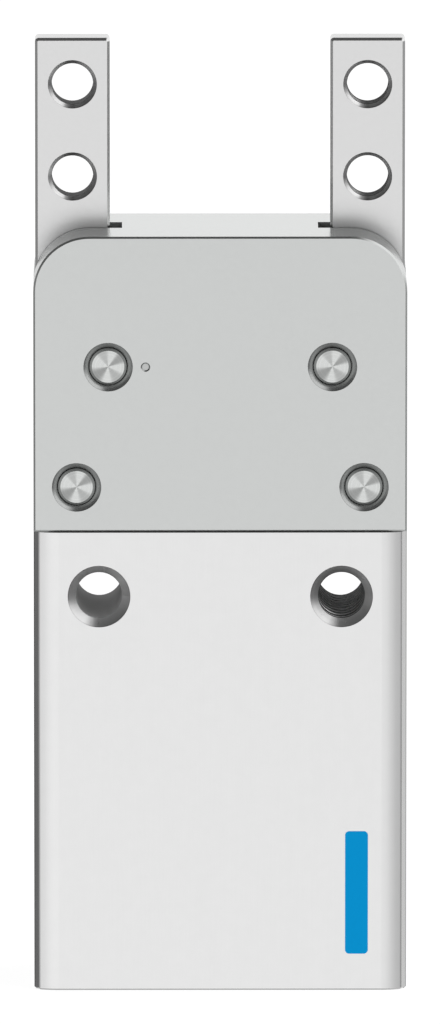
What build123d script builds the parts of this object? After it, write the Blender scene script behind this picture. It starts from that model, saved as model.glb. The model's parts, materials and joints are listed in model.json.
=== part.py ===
"""Double-acting pneumatic gripper with two swinging jaws.

The jaws swing outwards about pins in the head. A rack with teeth on both sides sits on the
piston rod and turns both jaws at once: the rack rises, the jaws open.
Millimetres. X is the width, Y the depth (front at -Y), Z up. The origin is the middle of the
bottom face. Every piece is modelled with the jaws parallel.
"""

import os
from math import acos, cos, pi, radians, sin, tan

from build123d import *

os.makedirs("parts", exist_ok=True)

SIDES = {"left": -1, "right": 1}

# Head and body
WIDTH = 40.0
DEPTH = 15.0
JOINT_Z = 50.25  # the head stands on the body here
HEAD_TOP_Z = 82.3
HEAD_CORNER_R = 6.0
HEAD_CHAMFER = 0.2
BODY_SIDE_X = 20.0
BODY_FRONT_Y = 7.4
BODY_CHAMFER = 0.2
CORNER_START_X = 17.3  # the body's front face is flat this far
CREASE_X, CREASE_Y = 19.45, 7.0  # the gentle round ends here in a narrow facet
CREASE_R = 0.4
FACET_Y = 6.2
FACET_R = 0.5
RELIEF_HEIGHT, RELIEF_DEPTH = 0.12, 0.5  # groove under the head, front and rear

# Pins in the head
PIN_R = 2.0
PIN_HOLE_R = 2.02
PIN_MOUTH_R, PIN_MOUTH_DEPTH = 2.1, 1.4  # the holes are a little wider near their ends
PIN_SINK_R = 2.64
PIN_HALF_LENGTH = 7.25
PIN_CHAMFER = 0.27
PIVOT_X, PIVOT_Z = 12.0, 68.17
DOWEL_X, DOWEL_Z = 15.39, 55.09

# Jaws
JAW_INNER_X, JAW_OUTER_X = 11.8, 19.8
JAW_THICK = 3.2
JAW_TOP_Z = 102.85
JAW_CHAMFER = 0.28
JAW_CORNER_R = 0.4
JAW_HOLE_X = 15.8
JAW_HOLE_Z = (97.85, 87.85)
JAW_HOLE_R = {"left": 2.22, "right": 2.46}  # plain, and an M5 thread near its major radius
JAW_SINK_R = 2.62
BUSH_R = 2.8
BUSH_BORE_R = 2.03
FIT = 0.02  # radial gap of fixed pieces in their holes

# Rack and jaw gear
GEAR_TEETH = 16
GEAR_R = 6.0
PRESSURE_ANGLE = radians(25)
ADDENDUM = 0.6
DEDENDUM = 0.85
BACKLASH = 0.12
RACK_THICK = 5.6
RACK_BOTTOM_Z, RACK_TOP_Z = 51.3, 70.5
RACK_TEETH = 7
GEAR_TEETH_CUT = 7  # the jaw turns a quarter, so only part of the gear has teeth
GEAR_FIRST_ANGLE = 157.5  # one tooth lies level with the pivot, at 180 degrees
HEEL_ANGLE, HEEL_RISE = -35, 2.0  # the jaw's outer edge slants back to the hub from here
SPIGOT_R = 1.9  # both ends of the rod
ROD_TOP_Z = 61.0
CROSS_PIN_R, CROSS_PIN_Z = 0.75, 54.4
PITCH = 2 * pi * GEAR_R / GEAR_TEETH
TOOTH_WIDTH = PITCH / 2 - BACKLASH / 2
BASE_R = GEAR_R * cos(PRESSURE_ANGLE)
TIP_R = GEAR_R + ADDENDUM
ROOT_R = GEAR_R - DEDENDUM
RACK_ROOT_X = PIVOT_X - GEAR_R - DEDENDUM
RACK_TIP_X = PIVOT_X - GEAR_R + ADDENDUM

# Hollows of the head
SLOT_WIDTH = 3.6
SLOT_INNER_X = 10.5
HUB_SPACE_R = TIP_R + 0.4
LUG_INNER_X = 9.0
LUG_TOP_Z = 59.6
LUG_GAP = 0.02
CHANNEL_X, CHANNEL_Y = 6.9, 3.0
CHANNEL_TOP_Z = 80.4
DIMPLE_X, DIMPLE_R, DIMPLE_DEPTH = -8.0, 0.5, 0.14

# Mounting holes of the body
BODY_HOLE_X, BODY_HOLE_Z = 13.0, 43.16
BODY_HOLE_R = {"left": 2.5, "right": 2.95}  # plain, and an M6 thread near its major radius
BODY_SINK_R = 3.36
FOOT_HOLE_X, FOOT_HOLE_R, FOOT_HOLE_DEPTH = 11.0, 1.65, 6.5  # M4 tapping size

# Cylinder
BORE_R = 6.0
BORE_TOP_Z = 33.8
BORE_CHAMFER = 0.4
RING_Z, RING_THICK, RING_GROOVE_R = 1.0, 1.0, 6.5
RING_PLAY = 0.05
CAP_Z, CAP_THICK = 2.05, 5.15
CAP_EDGE_R = 0.3
CAP_SEAL_Z, CAP_SEAL_R, CAP_GROOVE_DEPTH = 4.7, 0.58, 1.2
PULL_HOLE_R, PULL_HOLE_DEPTH = 1.25, 3.5
RING_INNER_R, RING_GAP_ANGLE = 5.1, 36
LUG_CENTRE_R, LUG_ANGLE, RING_LUG_R, RING_LUG_HOLE_R = 5.1, 30, 1.0, 0.5
BUMPER_THICK = 1.0
BUMPER_R = 5.4
BUMPER_CLEARANCE = 0.4
PISTON_Z, PISTON_R = 8.8, 5.93
PISTON_TOP_Z = 22.8
PISTON_SEAL_Z, PISTON_SEAL_HEIGHT, PISTON_SEAL_DEPTH = 16.6, 2.2, 1.7
BAND_Z, BAND_HEIGHT, BAND_DEPTH = 20.2, 1.6, 0.6
MAGNET_Z, MAGNET_HEIGHT, MAGNET_BORE_R, MAGNET_R = 10.8, 3.0, 3.2, 5.6
SPIGOT_BOTTOM_Z = 18.4
SCREW_R, SCREW_HEAD_R, SCREW_HEAD_HEIGHT, SCREW_TOP_Z = 1.25, 2.3, 1.4, 28.0
HEX_R = 0.87
ROD_R = 2.5
ROD_PLAY = 0.1
ROD_SEAL_GAP = 0.03
GLAND_Z, GLAND_R = 35.8, 4.5
SEAL_HEIGHT = 2.8
ROD_BUSH_HEIGHT = 8.0
PORT_Z = (8.6, 31.0)
PASSAGE_Z = (8.5, 33.0)
PORT_R, PORT_DEPTH, PASSAGE_R = 2.1, 6.0, 0.75
SENSOR_SLOT_X, SENSOR_SLOT_R, SENSOR_MOUTH, SENSOR_TOP_Z = 17.6, 2.0, 2.6, 38.0


def face_edges(part, face_y, radius=None):
    """The edges that lie in a part's front and rear faces, at face_y each way.

    With a radius, only the full circles of that radius.
    """
    edges = [edge for edge in part.edges() if abs(abs(edge.center().Y) - face_y) < 0.001]
    if radius is not None:
        edges = [edge for edge in edges if abs(edge.length - 2 * pi * radius) < 0.01]
    return edges


def ring_face(inner_r, outer_r, z):
    """The face of a flat ring about the cylinder's axis."""
    with BuildSketch(Plane.XY.offset(z)) as face:
        Circle(outer_r)
        Circle(inner_r, mode=Mode.SUBTRACT)
    return face.sketch


# ---------------------------------------------------------------- head
with BuildPart() as head:
    with BuildSketch(Plane.XZ) as head_face:
        with Locations((0, JOINT_Z)):
            Rectangle(WIDTH, HEAD_TOP_Z - JOINT_Z, align=(Align.CENTER, Align.MIN))
        fillet(head_face.vertices().group_by(Axis.Y)[-1], HEAD_CORNER_R)
    extrude(amount=DEPTH / 2, both=True)
    chamfer(face_edges(head.part, DEPTH / 2), HEAD_CHAMFER)
    # Jaw slots, open at the sides and the top; lower down they take the body's lugs
    with BuildSketch(Plane.XZ):
        with Locations((PIVOT_X, PIVOT_Z)):
            Circle(HUB_SPACE_R)
        with Locations((SLOT_INNER_X, PIVOT_Z)):
            Rectangle(WIDTH, WIDTH, align=Align.MIN)
        with Locations((PIVOT_X, LUG_TOP_Z)):
            Rectangle(WIDTH, WIDTH, align=Align.MIN)
        with Locations((LUG_INNER_X, 0)):
            Rectangle(WIDTH, LUG_TOP_Z, align=Align.MIN)
        mirror(about=Plane.YZ)
    extrude(amount=SLOT_WIDTH / 2, both=True, mode=Mode.SUBTRACT)
    # Channel of the rack
    with BuildSketch(Plane.XY.offset(JOINT_Z)):
        Rectangle(2 * CHANNEL_X, 2 * CHANNEL_Y)
    extrude(amount=CHANNEL_TOP_Z - JOINT_Z, mode=Mode.SUBTRACT)
    # Pin holes, wider and countersunk at both ends
    for sign in SIDES.values():
        for x, z in ((PIVOT_X, PIVOT_Z), (DOWEL_X, DOWEL_Z)):
            with Locations((sign * x, 0, z)):
                Cylinder(PIN_HOLE_R, DEPTH, rotation=(90, 0, 0), mode=Mode.SUBTRACT)
            for end in (-1, 1):
                with Locations((sign * x, end * (DEPTH - PIN_MOUTH_DEPTH) / 2, z)):
                    Cylinder(PIN_MOUTH_R, PIN_MOUTH_DEPTH, rotation=(90, 0, 0), mode=Mode.SUBTRACT)
    chamfer(face_edges(head.part, DEPTH / 2, PIN_MOUTH_R), PIN_SINK_R - PIN_MOUTH_R)
    # Small flat-bottomed dimple on the front face only
    with Locations((DIMPLE_X, (DIMPLE_DEPTH - DEPTH) / 2, PIVOT_Z)):
        Cone(DIMPLE_R - DIMPLE_DEPTH, DIMPLE_R, DIMPLE_DEPTH, rotation=(90, 0, 0), mode=Mode.SUBTRACT)
head.part.label = "head"
export_step(head.part, "parts/head.step")


# ---------------------------------------------------------------- body
with BuildPart() as body:
    # Plan: flat front and rear, rounded towards the sides, then a narrow facet
    with BuildSketch() as plan:
        with BuildLine():
            front = Line((0, -BODY_FRONT_Y), (CORNER_START_X, -BODY_FRONT_Y))
            TangentArc(front @ 1, (CREASE_X, -CREASE_Y), tangent=front % 1)
            Polyline((CREASE_X, -CREASE_Y), (BODY_SIDE_X, -FACET_Y), (BODY_SIDE_X, 0))
            mirror(about=Plane.XZ)
            mirror(about=Plane.YZ)
        make_face()
    extrude(amount=JOINT_Z)
    for edge_y, radius in ((CREASE_Y, CREASE_R), (FACET_Y, FACET_R)):
        uprights = body.edges().filter_by(Axis.Z)
        fillet(uprights.filter_by(lambda edge: abs(abs(edge.center().Y) - edge_y) < 0.01), radius)
    chamfer(body.faces().sort_by(Axis.Z)[0].edges(), BODY_CHAMFER)
    # Relief under the head, front and rear
    for end in (-1, 1):
        with Locations((0, end * BODY_FRONT_Y, JOINT_Z)):
            Box(
                2 * WIDTH, 2 * RELIEF_DEPTH, RELIEF_HEIGHT,
                align=(Align.CENTER, Align.CENTER, Align.MAX), mode=Mode.SUBTRACT,
            )
    # Lugs that stand up into the head's slots
    with BuildSketch(Plane.XZ):
        with Locations((LUG_INNER_X + LUG_GAP, JOINT_Z)):
            Rectangle(BODY_SIDE_X - LUG_INNER_X - LUG_GAP, LUG_TOP_Z - JOINT_Z - LUG_GAP, align=Align.MIN)
        mirror(about=Plane.YZ)
    extrude(amount=SLOT_WIDTH / 2 - LUG_GAP, both=True)
    for sign in SIDES.values():
        with Locations((sign * DOWEL_X, 0, DOWEL_Z)):
            Cylinder(PIN_HOLE_R, SLOT_WIDTH, rotation=(90, 0, 0), mode=Mode.SUBTRACT)
    # Cylinder bore, the groove of the retaining ring, and the gland for the rod
    for radius, bottom_z, top_z in (
        (BORE_R, 0, BORE_TOP_Z),
        (RING_GROOVE_R, RING_Z - RING_PLAY, RING_Z + RING_THICK + RING_PLAY),
        (ROD_R + ROD_PLAY, BORE_TOP_Z, GLAND_Z),
        (GLAND_R, GLAND_Z, JOINT_Z),
    ):
        with Locations((0, 0, bottom_z)):
            Cylinder(
                radius, top_z - bottom_z,
                align=(Align.CENTER, Align.CENTER, Align.MIN), mode=Mode.SUBTRACT,
            )
    mouth = [edge for edge in body.faces().sort_by(Axis.Z)[0].edges() if edge.geom_type == GeomType.CIRCLE]
    chamfer([edge for edge in mouth if edge.radius == BORE_R], BORE_CHAMFER)
    # Mounting holes, front to rear
    for side, sign in SIDES.items():
        with Locations((sign * BODY_HOLE_X, 0, BODY_HOLE_Z)):
            Cylinder(BODY_HOLE_R[side], DEPTH, rotation=(90, 0, 0), mode=Mode.SUBTRACT)
        rims = face_edges(body.part, BODY_FRONT_Y, BODY_HOLE_R[side])
        chamfer(rims, BODY_SINK_R - BODY_HOLE_R[side])
    # Threaded foot holes
    with Locations((-FOOT_HOLE_X, 0, 0), (FOOT_HOLE_X, 0, 0)):
        Cylinder(
            FOOT_HOLE_R, FOOT_HOLE_DEPTH,
            align=(Align.CENTER, Align.CENTER, Align.MIN), mode=Mode.SUBTRACT,
        )
    # Air ports on the left side, each with a narrow passage to the bore
    for port_z, passage_z in zip(PORT_Z, PASSAGE_Z):
        with Locations((-BODY_SIDE_X, 0, port_z)):
            Cylinder(PORT_R, 2 * PORT_DEPTH, rotation=(0, 90, 0), mode=Mode.SUBTRACT)
        with Locations((-BORE_R, 0, passage_z)):
            Cylinder(
                PASSAGE_R, BODY_SIDE_X - PORT_DEPTH - BORE_R + 2 * PASSAGE_R, rotation=(0, -90, 0),
                align=(Align.CENTER, Align.CENTER, Align.MIN), mode=Mode.SUBTRACT,
            )
    # Sensor slot on the right side
    with BuildSketch():
        with Locations((SENSOR_SLOT_X, 0)):
            Circle(SENSOR_SLOT_R)
            Rectangle(WIDTH, SENSOR_MOUTH, align=(Align.MIN, Align.CENTER))
    extrude(amount=SENSOR_TOP_Z, mode=Mode.SUBTRACT)
body.part.label = "body"
export_step(body.part, "parts/body.step")


# ---------------------------------------------------------------- pins of the head
for name, x, z in (("pivot", PIVOT_X, PIVOT_Z), ("dowel", DOWEL_X, DOWEL_Z)):
    for side, sign in SIDES.items():
        with BuildPart() as pin:
            with Locations((sign * x, 0, z)):
                Cylinder(PIN_R, 2 * PIN_HALF_LENGTH, rotation=(90, 0, 0))
            chamfer(face_edges(pin.part, PIN_HALF_LENGTH), PIN_CHAMFER)
        pin.part.label = f"{side}_{name}_pin"
        export_step(pin.part, f"parts/{side}_{name}_pin.step")


# ---------------------------------------------------------------- jaws
def involute(angle):
    """The involute function of gear geometry."""
    return tan(angle) - angle


def flank_point(radius):
    """A point of a tooth's upper flank; the tooth points along +X."""
    half_angle = TOOTH_WIDTH / 2 / GEAR_R + involute(PRESSURE_ANGLE) - involute(acos(BASE_R / radius))
    return (radius * cos(half_angle), radius * sin(half_angle))


with BuildSketch() as gear_tooth:
    with BuildLine():
        flank = Spline(*[flank_point(BASE_R + (TIP_R - BASE_R) * step / 4) for step in range(5)])
        Line(flank @ 1, (TIP_R, 0))
        Polyline(flank @ 0, (ROOT_R - DEDENDUM, (flank @ 0).Y), (ROOT_R - DEDENDUM, 0))
        mirror(about=Plane.XZ)
    make_face()

# The right jaw seen from the front
with BuildSketch(Plane.XZ) as jaw_face:
    with Locations((PIVOT_X, PIVOT_Z)):
        Circle(ROOT_R)
        with PolarLocations(
            0, GEAR_TEETH_CUT, start_angle=GEAR_FIRST_ANGLE,
            angular_range=(GEAR_TEETH_CUT - 1) * 360 / GEAR_TEETH, endpoint=True,
        ):
            add(gear_tooth.sketch)
    with BuildLine():
        heel = radians(HEEL_ANGLE)
        Polyline(
            (JAW_INNER_X, PIVOT_Z), (JAW_INNER_X, JAW_TOP_Z), (JAW_OUTER_X, JAW_TOP_Z),
            (JAW_OUTER_X, PIVOT_Z + HEEL_RISE),
            (PIVOT_X + ROOT_R * cos(heel), PIVOT_Z + ROOT_R * sin(heel)),
            (JAW_INNER_X, PIVOT_Z),
        )
    make_face()
    fillet(jaw_face.vertices().group_by(Axis.Y)[-1], JAW_CORNER_R)
    with Locations((PIVOT_X, PIVOT_Z)):
        Circle(BUSH_R + FIT, mode=Mode.SUBTRACT)

for side, sign in SIDES.items():
    with BuildPart() as jaw:
        front_view = jaw_face.sketch
        if side == "left":
            front_view = mirror(front_view, about=Plane.YZ, mode=Mode.PRIVATE)
        extrude(front_view, amount=JAW_THICK / 2, dir=(0, 1, 0), both=True)
        rim = face_edges(jaw.part, JAW_THICK / 2)
        chamfer([edge for edge in rim if edge.center().Z > HEAD_TOP_Z], JAW_CHAMFER)
        for z in JAW_HOLE_Z:
            with Locations((sign * JAW_HOLE_X, 0, z)):
                Cylinder(JAW_HOLE_R[side], JAW_THICK, rotation=(90, 0, 0), mode=Mode.SUBTRACT)
        rims = face_edges(jaw.part, JAW_THICK / 2, JAW_HOLE_R[side])
        chamfer(rims, JAW_SINK_R - JAW_HOLE_R[side])
    jaw.part.label = f"{side}_jaw"
    export_step(jaw.part, f"parts/{side}_jaw.step")

    with BuildPart() as jaw_bush:
        with Locations((sign * PIVOT_X, 0, PIVOT_Z)):
            Cylinder(BUSH_R, JAW_THICK, rotation=(90, 0, 0))
            Cylinder(BUSH_BORE_R, JAW_THICK, rotation=(90, 0, 0), mode=Mode.SUBTRACT)
    jaw_bush.part.label = f"{side}_jaw_bush"
    export_step(jaw_bush.part, f"parts/{side}_jaw_bush.step")


# ---------------------------------------------------------------- rack
# One tooth on each side, seen from the front
with BuildSketch() as rack_tooth:
    root_half = TOOTH_WIDTH / 2 + DEDENDUM * tan(PRESSURE_ANGLE)
    tip_half = TOOTH_WIDTH / 2 - ADDENDUM * tan(PRESSURE_ANGLE)
    with BuildLine():
        Polyline(
            (0, -root_half), (RACK_ROOT_X, -root_half), (RACK_TIP_X, -tip_half),
            (RACK_TIP_X, tip_half), (RACK_ROOT_X, root_half), (0, root_half),
        )
        mirror(about=Plane.YZ)
    make_face()

with BuildPart() as rack:
    with BuildSketch(Plane.XZ):
        with Locations((0, RACK_BOTTOM_Z)):
            Rectangle(2 * RACK_ROOT_X, RACK_TOP_Z - RACK_BOTTOM_Z, align=(Align.CENTER, Align.MIN))
        # A gap lies level with the jaw pivots
        with Locations(*[(0, PIVOT_Z + (0.5 - index) * PITCH) for index in range(RACK_TEETH)]):
            add(rack_tooth.sketch)
    extrude(amount=RACK_THICK / 2, both=True)
    with Locations((0, 0, RACK_BOTTOM_Z)):
        Cylinder(
            SPIGOT_R + FIT, ROD_TOP_Z - RACK_BOTTOM_Z + FIT,
            align=(Align.CENTER, Align.CENTER, Align.MIN), mode=Mode.SUBTRACT,
        )
    with Locations((0, 0, CROSS_PIN_Z)):
        Cylinder(CROSS_PIN_R + FIT, RACK_THICK, rotation=(90, 0, 0), mode=Mode.SUBTRACT)
rack.part.label = "rack"
export_step(rack.part, "parts/rack.step")

with BuildPart() as rack_pin:
    with Locations((0, 0, CROSS_PIN_Z)):
        Cylinder(CROSS_PIN_R, RACK_THICK, rotation=(90, 0, 0))
rack_pin.part.label = "rack_pin"
export_step(rack_pin.part, "parts/rack_pin.step")


# ---------------------------------------------------------------- piston
with BuildPart() as piston_rod:
    with BuildSketch(Plane.XZ):
        with BuildLine():
            Polyline(
                (0, SPIGOT_BOTTOM_Z), (SPIGOT_R, SPIGOT_BOTTOM_Z), (SPIGOT_R, PISTON_TOP_Z),
                (ROD_R, PISTON_TOP_Z), (ROD_R, RACK_BOTTOM_Z), (SPIGOT_R, RACK_BOTTOM_Z),
                (SPIGOT_R, ROD_TOP_Z), (0, ROD_TOP_Z), close=True,
            )
        make_face()
    revolve(axis=Axis.Z)
    # Tapped hole for the piston screw, and the cross hole for the rack's pin
    with Locations((0, 0, SPIGOT_BOTTOM_Z)):
        Cylinder(
            SCREW_R + FIT, SCREW_TOP_Z - SPIGOT_BOTTOM_Z + FIT,
            align=(Align.CENTER, Align.CENTER, Align.MIN), mode=Mode.SUBTRACT,
        )
    with Locations((0, 0, CROSS_PIN_Z)):
        Cylinder(CROSS_PIN_R + FIT, 4 * SPIGOT_R, rotation=(90, 0, 0), mode=Mode.SUBTRACT)
piston_rod.part.label = "piston_rod"
export_step(piston_rod.part, "parts/piston_rod.step")

with BuildPart() as piston:
    for inner_r, outer_r, bottom_z, top_z in (
        (SCREW_R + FIT, MAGNET_BORE_R, MAGNET_Z, MAGNET_Z + MAGNET_HEIGHT),
        (SCREW_R + FIT, PISTON_R, MAGNET_Z + MAGNET_HEIGHT, SPIGOT_BOTTOM_Z),
        (SPIGOT_R + FIT, PISTON_R, SPIGOT_BOTTOM_Z, PISTON_TOP_Z),
    ):
        extrude(ring_face(inner_r, outer_r, bottom_z), amount=top_z - bottom_z)
    for z, height, depth in (
        (PISTON_SEAL_Z, PISTON_SEAL_HEIGHT, PISTON_SEAL_DEPTH),
        (BAND_Z, BAND_HEIGHT, BAND_DEPTH),
    ):
        extrude(ring_face(PISTON_R - depth, PISTON_R, z), amount=height, mode=Mode.SUBTRACT)
piston.part.label = "piston"
export_step(piston.part, "parts/piston.step")

with BuildPart() as piston_magnet:
    extrude(ring_face(MAGNET_BORE_R + FIT, MAGNET_R, MAGNET_Z), amount=MAGNET_HEIGHT)
piston_magnet.part.label = "piston_magnet"
export_step(piston_magnet.part, "parts/piston_magnet.step")

with BuildPart() as piston_plate:
    extrude(ring_face(SCREW_R + FIT, PISTON_R, PISTON_Z), amount=MAGNET_Z - PISTON_Z)
    with Locations((0, 0, PISTON_Z)):
        Cylinder(
            SCREW_HEAD_R + ROD_PLAY, SCREW_HEAD_HEIGHT,
            align=(Align.CENTER, Align.CENTER, Align.MIN), mode=Mode.SUBTRACT,
        )
piston_plate.part.label = "piston_plate"
export_step(piston_plate.part, "parts/piston_plate.step")

with BuildPart() as piston_screw:
    with Locations((0, 0, PISTON_Z)):
        Cylinder(SCREW_HEAD_R, SCREW_HEAD_HEIGHT, align=(Align.CENTER, Align.CENTER, Align.MIN))
        Cylinder(SCREW_R, SCREW_TOP_Z - PISTON_Z, align=(Align.CENTER, Align.CENTER, Align.MIN))
    with BuildSketch(Plane.XY.offset(PISTON_Z)):
        RegularPolygon(HEX_R, 6)
    extrude(amount=SCREW_HEAD_HEIGHT / 2, mode=Mode.SUBTRACT)
piston_screw.part.label = "piston_screw"
export_step(piston_screw.part, "parts/piston_screw.step")

# A lip seal: a flat back, and two lips that open upwards
with BuildPart() as piston_seal:
    with BuildSketch(Plane.XZ):
        with BuildLine():
            inner_r, outer_r = PISTON_R - PISTON_SEAL_DEPTH + FIT, PISTON_R
            bottom_z, top_z = PISTON_SEAL_Z + FIT, PISTON_SEAL_Z + PISTON_SEAL_HEIGHT - FIT
            Polyline(
                (inner_r, bottom_z), (outer_r, bottom_z), (outer_r, top_z),
                ((inner_r + outer_r) / 2, (bottom_z + top_z) / 2), (inner_r, top_z), close=True,
            )
        make_face()
    revolve(axis=Axis.Z)
piston_seal.part.label = "piston_seal"
export_step(piston_seal.part, "parts/piston_seal.step")

with BuildPart() as piston_guide_band:
    extrude(ring_face(PISTON_R - BAND_DEPTH + FIT, PISTON_R, BAND_Z + FIT), amount=BAND_HEIGHT - 2 * FIT)
piston_guide_band.part.label = "piston_guide_band"
export_step(piston_guide_band.part, "parts/piston_guide_band.step")


# ---------------------------------------------------------------- fixed pieces of the cylinder
with BuildPart() as end_cap:
    with Locations((0, 0, CAP_Z)):
        Cylinder(BORE_R - FIT, CAP_THICK, align=(Align.CENTER, Align.CENTER, Align.MIN))
    fillet(end_cap.edges().group_by(Axis.Z)[0], CAP_EDGE_R)
    groove = ring_face(BORE_R - CAP_GROOVE_DEPTH, BORE_R, CAP_SEAL_Z - CAP_SEAL_R - FIT)
    extrude(groove, amount=2 * (CAP_SEAL_R + FIT), mode=Mode.SUBTRACT)
    # Threaded hole for pulling the cap out
    with Locations((0, 0, CAP_Z)):
        Cylinder(
            PULL_HOLE_R, PULL_HOLE_DEPTH,
            align=(Align.CENTER, Align.CENTER, Align.MIN), mode=Mode.SUBTRACT,
        )
end_cap.part.label = "end_cap"
export_step(end_cap.part, "parts/end_cap.step")

with BuildPart() as end_cap_seal:
    with Locations((0, 0, CAP_SEAL_Z)):
        Torus(BORE_R - FIT - CAP_SEAL_R, CAP_SEAL_R)
end_cap_seal.part.label = "end_cap_seal"
export_step(end_cap_seal.part, "parts/end_cap_seal.step")

# Spring ring with two lugs, each with a hole for the pliers
with BuildPart() as retaining_ring:
    with BuildSketch(Plane.XY.offset(RING_Z)):
        Circle(RING_GROOVE_R - RING_PLAY)
        Circle(RING_INNER_R, mode=Mode.SUBTRACT)
        with BuildLine():
            half_gap = 2 * RING_GROOVE_R * tan(radians(RING_GAP_ANGLE / 2))
            Polyline((0, 0), (-half_gap, -2 * RING_GROOVE_R), (half_gap, -2 * RING_GROOVE_R), close=True)
        make_face(mode=Mode.SUBTRACT)
        first_lug = -90 - LUG_ANGLE
        with PolarLocations(LUG_CENTRE_R, 2, start_angle=first_lug, angular_range=2 * LUG_ANGLE, endpoint=True):
            Circle(RING_LUG_R)
            Circle(RING_LUG_HOLE_R, mode=Mode.SUBTRACT)
    extrude(amount=RING_THICK)
retaining_ring.part.label = "retaining_ring"
export_step(retaining_ring.part, "parts/retaining_ring.step")

for name, bottom_z in (("lower", CAP_Z + CAP_THICK), ("upper", BORE_TOP_Z - BUMPER_THICK)):
    with BuildPart() as bumper:
        extrude(ring_face(ROD_R + BUMPER_CLEARANCE, BUMPER_R, bottom_z), amount=BUMPER_THICK)
    bumper.part.label = f"{name}_bumper"
    export_step(bumper.part, f"parts/{name}_bumper.step")

# The rod's seal has the piston seal's shape, with its lips towards the pressure, below
with BuildPart() as rod_seal:
    with BuildSketch(Plane.XZ):
        with BuildLine():
            inner_r, outer_r = ROD_R + ROD_SEAL_GAP, GLAND_R - FIT
            Polyline(
                (inner_r, GLAND_Z), ((inner_r + outer_r) / 2, GLAND_Z + SEAL_HEIGHT / 2),
                (outer_r, GLAND_Z), (outer_r, GLAND_Z + SEAL_HEIGHT),
                (inner_r, GLAND_Z + SEAL_HEIGHT), close=True,
            )
        make_face()
    revolve(axis=Axis.Z)
rod_seal.part.label = "rod_seal"
export_step(rod_seal.part, "parts/rod_seal.step")

with BuildPart() as rod_bush:
    extrude(ring_face(ROD_R + ROD_SEAL_GAP, GLAND_R - FIT, GLAND_Z + SEAL_HEIGHT), amount=ROD_BUSH_HEIGHT)
rod_bush.part.label = "rod_bush"
export_step(rod_bush.part, "parts/rod_bush.step")

with BuildPart() as wiper_ring:
    wiper_z = GLAND_Z + SEAL_HEIGHT + ROD_BUSH_HEIGHT
    extrude(ring_face(ROD_R + ROD_PLAY, GLAND_R - FIT, wiper_z), amount=JOINT_Z - wiper_z)
wiper_ring.part.label = "wiper_ring"
export_step(wiper_ring.part, "parts/wiper_ring.step")
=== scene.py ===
"""Looks of the pneumatic gripper: materials, threads, printed mark, studio."""

import json
import math

import bmesh
import bpy
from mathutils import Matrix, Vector


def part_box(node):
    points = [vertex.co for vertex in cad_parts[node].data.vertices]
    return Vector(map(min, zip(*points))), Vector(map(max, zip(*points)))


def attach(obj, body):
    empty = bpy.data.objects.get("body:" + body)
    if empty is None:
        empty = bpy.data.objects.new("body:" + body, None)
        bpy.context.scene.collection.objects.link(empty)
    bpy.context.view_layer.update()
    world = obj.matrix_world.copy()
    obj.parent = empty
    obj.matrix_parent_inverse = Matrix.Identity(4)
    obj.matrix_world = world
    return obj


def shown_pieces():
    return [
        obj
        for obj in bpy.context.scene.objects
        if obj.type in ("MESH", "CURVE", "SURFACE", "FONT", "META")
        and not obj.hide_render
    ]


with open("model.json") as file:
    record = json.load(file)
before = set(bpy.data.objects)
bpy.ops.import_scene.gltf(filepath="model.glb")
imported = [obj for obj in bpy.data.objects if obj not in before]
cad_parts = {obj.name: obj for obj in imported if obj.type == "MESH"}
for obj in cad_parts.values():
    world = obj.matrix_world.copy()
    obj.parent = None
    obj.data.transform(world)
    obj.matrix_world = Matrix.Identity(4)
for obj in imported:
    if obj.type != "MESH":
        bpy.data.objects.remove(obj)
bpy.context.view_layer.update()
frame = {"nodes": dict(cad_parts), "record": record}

MM = 0.001

# ---------------------------------------------------------------- places, from the frame
HEAD_LOW, HEAD_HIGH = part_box("head")
BODY_LOW, BODY_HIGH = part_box("body")
MOUNTS = {mount["name"]: mount for mount in frame["record"]["mounts"]}
PINS = ("left_pivot_pin", "right_pivot_pin", "left_dowel_pin", "right_dowel_pin")


def pin_axis(node):
    """The middle of a pin, which lies along Y."""
    low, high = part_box(node)
    return (low + high) / 2


# ---------------------------------------------------------------- node helpers
class Nodes:
    """A node tree with short ways to add and join nodes."""

    def __init__(self, tree):
        self.tree = tree

    def add(self, kind, **settings):
        node = self.tree.nodes.new(kind)
        for name, value in settings.items():
            setattr(node, name, value)
        return node

    def put(self, node, socket, value):
        """Sets an input to a value, or joins it to another node's output."""
        if isinstance(value, bpy.types.NodeSocket):
            self.tree.links.new(value, node.inputs[socket])
        else:
            node.inputs[socket].default_value = value

    def math(self, operation, first, second=0.0, third=0.0, clamp=False):
        node = self.add("ShaderNodeMath", operation=operation, use_clamp=clamp)
        for index, value in enumerate((first, second, third)):
            self.put(node, index, value)
        return node.outputs[0]

    def vector(self, operation, first, second=(0.0, 0.0, 0.0)):
        node = self.add("ShaderNodeVectorMath", operation=operation)
        self.put(node, 0, first)
        self.put(node, 1, second)
        return node.outputs["Value" if operation in ("LENGTH", "DOT_PRODUCT") else "Vector"]

    def smooth(self, value, low, high, out_low=0.0, out_high=1.0):
        """A smooth step from out_low to out_high as value goes from low to high."""
        node = self.add("ShaderNodeMapRange", interpolation_type="SMOOTHSTEP")
        for socket, number in zip(range(5), (value, low, high, out_low, out_high)):
            self.put(node, socket, number)
        return node.outputs[0]

    def noise(self, coordinates, scale, detail=3.0, roughness=0.55):
        node = self.add("ShaderNodeTexNoise")
        self.put(node, "Vector", coordinates)
        self.put(node, "Scale", scale)
        self.put(node, "Detail", detail)
        self.put(node, "Roughness", roughness)
        return node.outputs["Fac"]

    def stretched(self, coordinates, scale):
        """Coordinates multiplied by a scale for each axis."""
        return self.vector("MULTIPLY", coordinates, scale)

    def tint(self, color, factor):
        """A colour multiplied by a number that varies over the surface."""
        node = self.add("ShaderNodeVectorMath", operation="SCALE")
        self.put(node, 0, color)
        self.put(node, "Scale", factor)
        return node.outputs[0]


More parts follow.
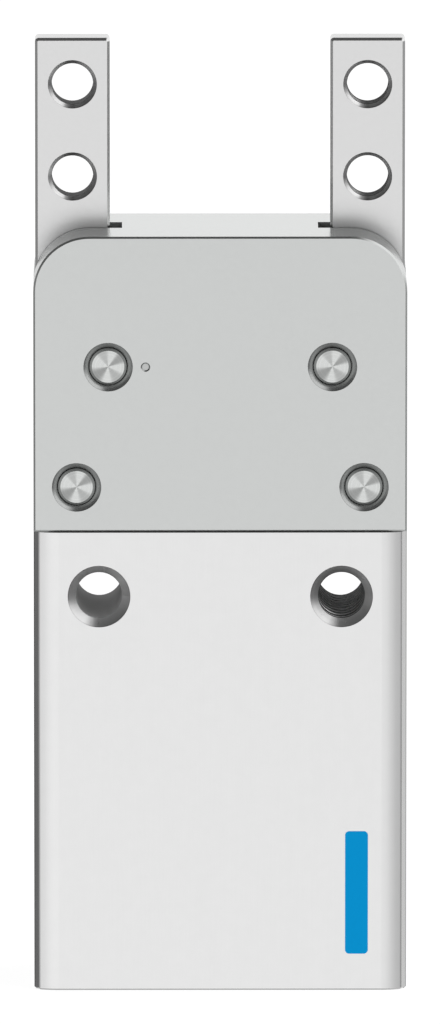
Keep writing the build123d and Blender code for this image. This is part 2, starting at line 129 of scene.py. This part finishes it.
# ---------------------------------------------------------------- materials
def shader(name, color, metallic, roughness):
    """A new material with a Principled shader; returns the material, its Nodes and the shader."""
    material = bpy.data.materials.new(name)
    material.use_nodes = True
    nodes = Nodes(material.node_tree)
    principled = material.node_tree.nodes["Principled BSDF"]
    nodes.put(principled, "Base Color", (*color, 1.0))
    nodes.put(principled, "Metallic", metallic)
    nodes.put(principled, "Roughness", roughness)
    return material, nodes, principled


def position(nodes):
    """A place on the object, in metres, in the object's own frame."""
    return nodes.add("ShaderNodeTexCoord").outputs["Object"]


def add_bump(nodes, principled, height, distance):
    bump = nodes.add("ShaderNodeBump")
    nodes.put(bump, "Distance", distance)
    nodes.put(bump, "Height", height)
    nodes.put(principled, "Normal", bump.outputs["Normal"])


def axis_distance(nodes, place, centre):
    """How far a place is from an axis along Y, in metres."""
    offset = nodes.vector("SUBTRACT", place, tuple(centre))
    return nodes.vector("LENGTH", nodes.vector("MULTIPLY", offset, (1.0, 0.0, 1.0)))


CONE_ROUGHNESS, WALL_ROUGHNESS = 0.29, 0.75


class Bore:
    """A countersunk hole along Y, and the painted shade that darkens its wall and its cone next to the
    metal's face.

    wall_shades are the painted shade of the wall at the front and the rear end, inner_shade and
    painted_outer_shade that of the cone at its inner and outer edge. painted_glints are sectors of the cone
    with a painted
    highlight or painted shade: azimuth and half width in degrees, and factor.
    """

    def __init__(self, centre, wall_mm, sink_mm, wall_shades, inner_shade, painted_outer_shade, painted_glints=()):
        self.centre = Vector(centre)
        self.wall_r, self.sink_r = wall_mm * MM, sink_mm * MM
        self.wall_shades, self.inner_shade, self.painted_outer_shade = wall_shades, inner_shade, painted_outer_shade
        self.painted_glints = painted_glints

    def shade(self, nodes, place):
        """Painted shade and least roughness of the wall, then of the cone, which has a thin rim of painted
        shade.
        """
        radius = axis_distance(nodes, place, self.centre)
        # Painted shade across the cone, from its inner to its outer edge
        cone = nodes.smooth(
            radius, self.wall_r, self.sink_r - 0.15 * MM, self.inner_shade, self.painted_outer_shade,
        )
        # A thin rim of painted shade at the cone's outer edge
        rim = nodes.smooth(radius, self.sink_r - 0.12 * MM, self.sink_r - 0.04 * MM, 1.0, 0.8)
        outside = nodes.smooth(radius, self.sink_r, self.sink_r + 0.01 * MM)
        on_wall = nodes.smooth(radius, self.wall_r, self.wall_r + 0.03 * MM, 1.0, 0.0)
        split = nodes.add("ShaderNodeSeparateXYZ")
        nodes.put(split, 0, nodes.vector("SUBTRACT", place, tuple(self.centre)))
        angle = nodes.math("ARCTAN2", split.outputs["Z"], split.outputs["X"])
        # Painted highlights and painted shade in sectors of the cone
        for azimuth, half_width, factor in self.painted_glints:
            along = nodes.math("COSINE", nodes.math("SUBTRACT", angle, math.radians(azimuth)))
            edge = math.cos(math.radians(half_width))
            cone = nodes.math("MULTIPLY", cone, nodes.smooth(along, edge, 0.99, 1.0, factor))
        within = nodes.math("SUBTRACT", 1.0, outside)
        inside = nodes.math("MULTIPLY", nodes.math("MULTIPLY", cone, rim), within)
        shade = nodes.math("ADD", inside, outside)
        # Painted shade on the wall, from the front end to the rear end
        wall = nodes.smooth(split.outputs["Y"], -6.0 * MM, 3.0 * MM, *self.wall_shades)
        darker = nodes.math("MULTIPLY", on_wall, nodes.math("SUBTRACT", shade, wall))
        roughness = nodes.math("MULTIPLY", nodes.math("SUBTRACT", 1.0, outside), CONE_ROUGHNESS)
        roughness = nodes.math("MAXIMUM", roughness, nodes.math("MULTIPLY", on_wall, WALL_ROUGHNESS))
        return nodes.math("SUBTRACT", shade, darker), roughness


def metal(
    name, color, roughness, grain=(2500, 2500, 2500), spread=0.03, blotch=0.02, bump=0.000002,
    edge_roughness=None, painted_top_light=1.0, bores=(), painted_shade_details=(),
):
    """A metal with a fine grain, faint larger blotches, and a bump of the same grain.

    edge_roughness is for the bevels, which are cut smoother than the broad faces across Y, and
    painted_top_light is painted light or painted shade on faces that look up. bores put painted shade in
    holes and their cones. Each of painted_shade_details takes the nodes and the place, and gives a painted
    shade.
    """
    material, nodes, principled = shader(name, color, 1.0, roughness)
    place = position(nodes)
    fine = nodes.noise(nodes.stretched(place, grain), 1.0, detail=4.0)
    large = nodes.noise(place, 700.0, detail=2.0)
    shade = nodes.math("MULTIPLY_ADD", nodes.math("SUBTRACT", fine, 0.5), spread * 2, 1.0)
    shade = nodes.math("MULTIPLY_ADD", nodes.math("SUBTRACT", large, 0.5), blotch * 2, shade)
    drilled = 0.0
    # Painted shade in the holes and their cones
    for bore in bores:
        bore_painted_shade, bore_roughness = bore.shade(nodes, place)
        shade = nodes.math("MULTIPLY", shade, bore_painted_shade)
        drilled = nodes.math("MAXIMUM", drilled, bore_roughness)
    rough = roughness
    split = nodes.add("ShaderNodeSeparateXYZ")
    nodes.put(split, 0, nodes.add("ShaderNodeTexCoord").outputs["Normal"])
    if edge_roughness is not None:
        facing = nodes.math("ABSOLUTE", split.outputs["Y"])
        rough = nodes.smooth(facing, 0.75, 0.9, edge_roughness, roughness)
    # Painted light or painted shade on faces that look up
    if painted_top_light != 1.0:
        upward = nodes.smooth(split.outputs["Z"], 0.8, 0.95, 1.0, painted_top_light)
        shade = nodes.math("MULTIPLY", shade, upward)
    # Painted shade from each of the details
    for detail in painted_shade_details:
        shade = nodes.math("MULTIPLY", shade, detail(nodes, place))
    if bores:
        rough = nodes.math("MAXIMUM", rough, drilled)
    nodes.put(principled, "Base Color", nodes.tint(color, shade))
    rough = nodes.math("MULTIPLY_ADD", nodes.math("SUBTRACT", fine, 0.5), 0.08, rough)
    nodes.put(principled, "Roughness", rough)
    add_bump(nodes, principled, fine, bump)
    return material


PIN_FACE_R = 1.73 * MM


def turned_metal(name, color, roughness, centre):
    """The end face of a pin: rings from the lathe about an axis along Y, and dark sectors of painted shade.
    """
    material, nodes, principled = shader(name, color, 1.0, roughness)
    offset = nodes.vector("SUBTRACT", position(nodes), tuple(centre))
    flat = nodes.vector("MULTIPLY", offset, (1.0, 0.0, 1.0))
    radius = nodes.vector("LENGTH", flat)
    split = nodes.add("ShaderNodeSeparateXYZ")
    nodes.put(split, 0, flat)
    angle = nodes.math("ARCTAN2", split.outputs["Z"], split.outputs["X"])
    # Rings: noise along the radius only
    along = nodes.add("ShaderNodeCombineXYZ")
    nodes.put(along, "X", nodes.math("MULTIPLY", radius, 4200.0))
    rings = nodes.noise(along.outputs[0], 1.0, detail=2.0)
    # Painted shade in sectors: azimuth, half width and depth of each dark one
    shade = nodes.math("MULTIPLY_ADD", nodes.math("SUBTRACT", rings, 0.5), 0.4, 1.0)
    for band, width, depth in ((35, 27, 0.48), (216, 38, 0.50), (112, 27, 0.28), (308, 33, 0.33)):
        along_band = nodes.math("COSINE", nodes.math("SUBTRACT", angle, math.radians(band)))
        edge, core = math.cos(math.radians(width)), math.cos(math.radians(2))
        shade = nodes.math("MULTIPLY", shade, nodes.smooth(along_band, edge, core, 1.0, 1.0 - depth))
    # Painted shade: the chamfer round the face at 0.8, and a darker painted ring at its outer edge
    on_edge = nodes.smooth(radius, PIN_FACE_R, PIN_FACE_R + 0.05 * MM)
    shade = nodes.math("ADD", shade, nodes.math("MULTIPLY", on_edge, nodes.math("SUBTRACT", 0.8, shade)))
    shade = nodes.math("MULTIPLY", shade, nodes.smooth(radius, 1.93 * MM, 1.99 * MM, 1.0, 0.5))
    nodes.put(principled, "Base Color", nodes.tint(color, shade))
    add_bump(nodes, principled, rings, 0.000004)
    return material


def rubber(name, color, roughness):
    material, nodes, principled = shader(name, color, 0.0, roughness)
    fine = nodes.noise(position(nodes), 4000.0)
    nodes.put(principled, "Base Color", nodes.tint(color, nodes.math("ADD", fine, 0.5)))
    add_bump(nodes, principled, fine, 0.000006)
    return material


def paint(name, color, roughness):
    """Printing ink: thin, slightly uneven, with hardly any gloss."""
    material, nodes, principled = shader(name, color, 0.0, roughness)
    nodes.put(principled, "Specular IOR Level", 0.05)
    fine = nodes.noise(position(nodes), 3000.0)
    shade = nodes.math("MULTIPLY_ADD", nodes.math("SUBTRACT", fine, 0.5), 0.06, 1.0)
    nodes.put(principled, "Base Color", nodes.tint(color, shade))
    return material


def painted_groove_shade(nodes, place):
    """Painted shade inside the low groove between body and head."""
    split = nodes.add("ShaderNodeSeparateXYZ")
    nodes.put(split, 0, place)
    return nodes.smooth(split.outputs["Z"], HEAD_LOW.z - 0.135 * MM, HEAD_LOW.z - 0.115 * MM, 1.0, 0.2)


def painted_corner_shade(nodes, place):
    """Painted shade: a darker line along the body's outer corners, on the round between facet and side."""
    across = nodes.add("ShaderNodeSeparateXYZ")
    nodes.put(across, 0, place)
    facing = nodes.add("ShaderNodeSeparateXYZ")
    nodes.put(facing, 0, nodes.add("ShaderNodeTexCoord").outputs["Normal"])
    turned = nodes.math("ABSOLUTE", facing.outputs["Y"])
    on_round = nodes.math("MULTIPLY", nodes.smooth(turned, 0.02, 0.1), nodes.smooth(turned, 0.56, 0.48))
    outer = nodes.smooth(nodes.math("ABSOLUTE", across.outputs["X"]), 19.6 * MM, 19.7 * MM)
    return nodes.math("SUBTRACT", 1.0, nodes.math("MULTIPLY", nodes.math("MULTIPLY", on_round, outer), 0.62))


def painted_dimple_shade(nodes, place):
    """The small dimple in the head's front: painted shade, a little darker on the slope than on the bottom.
    """
    radius = axis_distance(nodes, place, DIMPLE)
    slope = nodes.smooth(radius, 0.10 * MM, 0.42 * MM, 0.85, 0.80)
    return nodes.math("MAXIMUM", slope, nodes.smooth(radius, 0.50 * MM, 0.52 * MM))


DIMPLE = Vector((-8.0 * MM, HEAD_LOW.y, pin_axis("left_pivot_pin").z))
# Painted highlights and painted shade in sectors of the holes' cones: azimuth, half width, factor
BODY_PAINTED_GLINTS = ((0, 40, 0.82), (222, 30, 1.12), (258, 16, 0.92), (315, 40, 0.92))
JAW_PAINTED_GLINTS = ((0, 35, 0.85), (142, 42, 2.0), (42, 45, 1.6), (228, 30, 1.5), (262, 16, 0.7), (325, 40, 0.8))
# Painted shade in the body's holes: wall at front and rear, cone inside and outside, painted glints
BODY_BORES = [
    Bore(MOUNTS["body_hole_left"]["pos_m"], 2.5, 3.36, (0.95, 0.42), 0.93, 0.88, BODY_PAINTED_GLINTS),
    Bore(MOUNTS["body_hole_right"]["pos_m"], 2.88, 3.36, (0.10, 0.10), 0.93, 0.88, BODY_PAINTED_GLINTS),
]
JAW_SINK = 2.62
# Painted shade in the jaws' holes; shade is the painted shade of each wall
JAW_BORES = [
    Bore(
        MOUNTS[f"{side}_jaw_hole_{level}"]["pos_m"], wall_mm, JAW_SINK, (shade, shade), 0.85, 0.8, JAW_PAINTED_GLINTS,
    )
    for side, wall_mm, shade in (("left", 2.22, 0.3), ("right", 2.42, 0.08))
    for level in ("upper", "lower")
]
# Painted shade in the mouths and cones of the pin holes
HEAD_BORES = [Bore(pin_axis(node), 2.1, 2.64, (1.0, 1.0), 0.72, 0.86) for node in PINS]
MATERIALS = {
    # Painted light on the head's top faces and painted shade on the jaws' tops; painted shade in holes,
    # groove, corners and dimple
    "head_aluminium": metal(
        "head_aluminium", (0.588, 0.600, 0.594), 0.32, spread=0.01, blotch=0.008, bump=0.0000005,
        edge_roughness=0.25, painted_top_light=1.25, bores=HEAD_BORES, painted_shade_details=[painted_dimple_shade],
    ),
    "body_aluminium": metal(
        "body_aluminium", (0.765, 0.765, 0.765), 0.32, grain=(3200, 3200, 120), spread=0.03, blotch=0.018,
        bump=0.0000006, edge_roughness=0.25, bores=BODY_BORES, painted_shade_details=[painted_groove_shade, painted_corner_shade],
    ),
    "jaw_steel": metal(
        "jaw_steel", (0.675, 0.675, 0.675), 0.30, spread=0.006, blotch=0.008, bump=0.0000002,
        edge_roughness=0.18, painted_top_light=0.98, bores=JAW_BORES,
    ),
    "pin_steel": metal("pin_steel", (0.60, 0.61, 0.60), 0.3),
    "bronze": metal("bronze", (0.55, 0.38, 0.18), 0.35, spread=0.08),
    "gear_steel": metal("gear_steel", (0.50, 0.50, 0.50), 0.3, grain=(2500, 2500, 300)),
    "spring_steel": metal("spring_steel", (0.12, 0.12, 0.12), 0.4, spread=0.08),
    "piston_aluminium": metal("piston_aluminium", (0.62, 0.62, 0.62), 0.3, grain=(900, 900, 900)),
    "magnet": metal("magnet", (0.10, 0.10, 0.10), 0.5, spread=0.1),
    "seal_rubber": rubber("seal_rubber", (0.03, 0.03, 0.03), 0.5),
    "guide_plastic": rubber("guide_plastic", (0.60, 0.55, 0.42), 0.45),
}


def set_material(piece, material):
    piece.data.materials.clear()
    piece.data.materials.append(material)


for row in frame["record"]["subparts"]:
    if row["node"] in PINS:
        set_material(
            frame["nodes"][row["node"]],
            turned_metal(row["node"], (0.60, 0.612, 0.604), 0.25, pin_axis(row["node"])),
        )
    else:
        set_material(frame["nodes"][row["node"]], MATERIALS[row["material_slot"]])


# ---------------------------------------------------------------- pieces
def new_piece(name, points, faces, material, body):
    """A mesh piece that rides on a body."""
    mesh = bpy.data.meshes.new(name)
    mesh.from_pydata(points, [], faces)
    mesh.update()
    piece = bpy.data.objects.new(name, mesh)
    bpy.context.collection.objects.link(piece)
    set_material(piece, material)
    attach(piece, body)
    return piece


COLLAR_DEPTH = 0.45 * MM


def thread(name, mount, half_depth, crest_r, sink_r, pitch, start, body, material):
    """The ridge of a right-hand thread in a hole along Y, with a plain first turn at each end.

    The hole's wall is the thread's outer diameter, and the ridge stands inwards from it. start turns
    the thread about its axis.
    """
    steps = 72
    centre = Vector(mount["pos_m"])
    root_r = mount["dims"]["r_mm"] * MM + 0.03 * MM
    slope = (root_r - crest_r) * math.tan(math.radians(30))
    root_half = pitch * 0.46
    crest_half = root_half - slope
    profile = (
        (root_r, -root_half), ((root_r + crest_r) / 2, -root_half + slope / 2), (crest_r, -crest_half),
        (crest_r, 0.0), (crest_r, crest_half), ((root_r + crest_r) / 2, root_half - slope / 2),
        (root_r, root_half),
    )
    reach = half_depth - (sink_r - crest_r) - COLLAR_DEPTH / 2
    turns = 2 * half_depth / pitch + 1
    points = []
    for step in range(int(turns * steps) + 1):
        angle = start + 2 * math.pi * step / steps
        along = -half_depth - pitch / 2 + pitch * step / steps
        for radius, shift in profile:
            depth = min(max(along + shift, -reach), reach)
            points.append((
                centre.x + radius * math.cos(angle), depth, centre.z + radius * math.sin(angle),
            ))
    size = len(profile)
    rows = len(points) // size
    faces = [
        (
            row * size + i, row * size + (i + 1) % size,
            (row + 1) * size + (i + 1) % size, (row + 1) * size + i,
        )
        for row in range(rows - 1) for i in range(size)
    ]
    faces += [tuple(reversed(range(size))), tuple(range((rows - 1) * size, rows * size))]
    # The tap's full first turn at each end, so that the countersink reaches in to the core
    for end in (-1, 1):
        ring = [
            (root_r, sink_r - root_r), (crest_r, sink_r - crest_r),
            (crest_r, sink_r - crest_r + COLLAR_DEPTH), (root_r, sink_r - crest_r + COLLAR_DEPTH + slope),
        ]
        first = len(points)
        for step in range(steps):
            angle = 2 * math.pi * step / steps
            points += [
                (
                    centre.x + radius * math.cos(angle), end * (half_depth - depth),
                    centre.z + radius * math.sin(angle),
                )
                for radius, depth in ring
            ]
        for step in range(steps):
            here, there = first + 4 * step, first + 4 * ((step + 1) % steps)
            faces += [(here + i, here + (i + 1) % 4, there + (i + 1) % 4, there + i) for i in range(4)]
    return new_piece(name, points, faces, material, body)


JAW_HALF = (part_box("right_jaw")[1].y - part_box("right_jaw")[0].y) / 2
# Painted shade, painted highlights and painted glints in the threaded holes and their cones
BODY_THREAD_METAL = metal(
    "body_thread_metal", (0.75, 0.75, 0.75), 0.32, edge_roughness=0.25,
    bores=[Bore(MOUNTS["body_hole_right"]["pos_m"], 2.5, 3.36, (0.16, 0.16), 0.93, 0.88, BODY_PAINTED_GLINTS)],
)
JAW_THREAD_METAL = metal(
    "jaw_thread_metal", (0.745, 0.745, 0.745), 0.3, edge_roughness=0.18,
    bores=[
        Bore(MOUNTS[f"right_jaw_hole_{level}"]["pos_m"], 2.22, JAW_SINK, (0.15, 0.15), 0.85, 0.8, JAW_PAINTED_GLINTS)
        for level in ("upper", "lower")
    ],
)
thread(
    "body_thread", MOUNTS["body_hole_right"], BODY_HIGH.y, 2.5 * MM, 3.36 * MM, 1.5 * MM,
    math.radians(300), "housing", BODY_THREAD_METAL,
)
for level in ("upper", "lower"):
    thread(
        f"{level}_jaw_thread", MOUNTS[f"right_jaw_hole_{level}"], JAW_HALF, 2.22 * MM, JAW_SINK * MM,
        0.8 * MM, math.radians(120), "right_jaw", JAW_THREAD_METAL,
    )


def printed_bar(name, centre, width, height, thickness, material):
    """A plain printed bar with round corners on the body's front face."""
    corner = width * 0.18
    steps = 8
    outline = []
    for quarter, (sx, sz) in enumerate(((1, 1), (-1, 1), (-1, -1), (1, -1))):
        for step in range(steps + 1):
            angle = math.radians(90 * quarter + 90 * step / steps)
            outline.append((
                centre.x + sx * (width / 2 - corner) + corner * math.cos(angle),
                centre.z + sz * (height / 2 - corner) + corner * math.sin(angle),
            ))
    count = len(outline)
    points = [(x, centre.y, z) for x, z in outline]
    points += [(x, centre.y - thickness, z) for x, z in outline]
    faces = [tuple(reversed(range(count))), tuple(range(count, 2 * count))]
    faces += [(i, (i + 1) % count, count + (i + 1) % count, count + i) for i in range(count)]
    return new_piece(name, points, faces, material, "housing")


BLUE_INK = paint("blue_ink", (0.0, 0.45, 1.0), 0.45)
printed_bar(
    "printed_bar", Vector((14.64 * MM, BODY_LOW.y + 0.005 * MM, 10.75 * MM)), 2.45 * MM, 13.45 * MM,
    0.02 * MM, BLUE_INK,
)

# The faces of the added pieces all look outwards
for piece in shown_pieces():
    if piece.name not in frame["nodes"]:
        mesh = bmesh.new()
        mesh.from_mesh(piece.data)
        bmesh.ops.recalc_face_normals(mesh, faces=mesh.faces)
        mesh.to_mesh(piece.data)
        mesh.free()


# ---------------------------------------------------------------- studio
FRONT_LIGHT = 1.12
BACK_LIGHT = 0.86


def make_floor():
    """A pale floor that glows a little, so that only a faint shadow shows."""
    mesh = bpy.data.meshes.new("floor")
    reach = 6.0
    corners = [(-reach, -reach, 0), (reach, -reach, 0), (reach, reach, 0), (-reach, reach, 0)]
    mesh.from_pydata(corners, [], [(0, 1, 2, 3)])
    floor = bpy.data.objects.new("floor", mesh)
    floor.location.z = -0.02 * MM
    bpy.context.collection.objects.link(floor)
    material, nodes, principled = shader("floor", (0.35, 0.35, 0.35), 0.0, 0.9)
    nodes.put(principled, "Specular IOR Level", 0.0)
    nodes.put(principled, "Emission Color", (1.0, 1.0, 1.0, 1.0))
    nodes.put(principled, "Emission Strength", 0.9)
    set_material(floor, material)
    floor.visible_glossy = False
    floor.visible_diffuse = False


def make_world():
    """Studio surroundings by direction: broad soft lights in front and behind, weaker ones elsewhere.

    The camera itself sees plain white.
    """
    world = bpy.data.worlds.new("studio")
    world.use_nodes = True
    bpy.context.scene.world = world
    nodes = Nodes(world.node_tree)
    direction = nodes.vector("NORMALIZE", nodes.add("ShaderNodeTexCoord").outputs["Generated"])
    split = nodes.add("ShaderNodeSeparateXYZ")
    nodes.put(split, 0, direction)
    x, y, z = split.outputs
    level = nodes.vector("NORMALIZE", nodes.vector("MULTIPLY", direction, (1.0, 1.0, 0.0)))

    def toward(azimuth, edge, core):
        """1 within core degrees of an azimuth (0 is in front, 90 to the right), 0 beyond edge degrees."""
        turn = math.radians(azimuth)
        facing = nodes.vector("DOT_PRODUCT", level, (math.sin(turn), -math.cos(turn), 0.0))
        return nodes.smooth(facing, math.cos(math.radians(edge)), math.cos(math.radians(core)))

    def round_box(middle, edge, core):
        facing = nodes.vector("DOT_PRODUCT", direction, tuple(Vector(middle).normalized()))
        return nodes.smooth(facing, math.cos(math.radians(edge)), math.cos(math.radians(core)))

    def product(*factors):
        result = factors[0]
        for factor in factors[1:]:
            result = nodes.math("MULTIPLY", result, factor)
        return result

    turn = math.radians(-10)
    facing = nodes.vector("DOT_PRODUCT", level, (math.sin(turn), -math.cos(turn), 0.0))
    front = product(
        nodes.math("POWER", nodes.math("MAXIMUM", facing, 0.0), 2.5),
        nodes.smooth(z, 0.27, -0.06), nodes.smooth(z, -0.97, -0.7), FRONT_LIGHT,
    )
    behind = product(
        toward(170, 54, 14), nodes.smooth(z, 0.75, 0.35), nodes.smooth(z, -0.95, -0.6), BACK_LIGHT,
    )
    right_up = product(round_box((0.79, -0.13, 0.60), 46, 20), 1.15)
    left_back_up = product(round_box((-0.58, 0.58, 0.57), 42, 10), 0.5)
    right = product(nodes.smooth(x, 0.35, 0.98), nodes.smooth(z, 0.5, -0.1), 0.14)
    right_strip = product(toward(112, 26, 9), nodes.smooth(z, 0.4, 0.0), 0.45)
    left = product(toward(-84, 28, 10), nodes.smooth(z, 0.45, 0.1), 0.18)
    below = product(nodes.smooth(z, -0.5, -0.98), 0.42)
    light = nodes.math("MAXIMUM", nodes.math("MULTIPLY_ADD", z, -0.02, 0.12), 0.0)
    for part in (front, behind, right_up, left_back_up, right, right_strip, left, below):
        light = nodes.math("ADD", light, part)
    seen = nodes.add("ShaderNodeLightPath").outputs["Is Camera Ray"]
    light = nodes.math("MULTIPLY", light, nodes.math("SUBTRACT", 1.0, seen))
    light = nodes.math("ADD", light, seen)
    color = nodes.add("ShaderNodeCombineXYZ")
    for axis in range(3):
        nodes.put(color, axis, light)
    nodes.put(world.node_tree.nodes["Background"], "Color", color.outputs[0])


def make_camera():
    """A long lens, a little above the object and almost straight in front of it."""
    data = bpy.data.cameras.new("camera")
    data.sensor_width = 36.0
    data.lens = 700.0
    camera = bpy.data.objects.new("camera", data)
    bpy.context.collection.objects.link(camera)
    elevation, azimuth = math.radians(10.7), math.radians(-0.24)
    view_height = 109.67 * MM
    distance = view_height * data.lens / data.sensor_width
    back = Vector((
        math.sin(azimuth) * math.cos(elevation), -math.cos(azimuth) * math.cos(elevation),
        math.sin(elevation),
    ))
    target = Vector((-0.03 * MM, HEAD_LOW.y, 52.40 * MM))
    camera.location = target + back * distance
    camera.rotation_mode = "QUATERNION"
    camera.rotation_quaternion = back.to_track_quat("Z", "Y")
    data.clip_start, data.clip_end = 0.1, 20.0
    bpy.context.scene.camera = camera


make_floor()
make_world()
make_camera()
bpy.context.scene.view_settings.view_transform = "Standard"
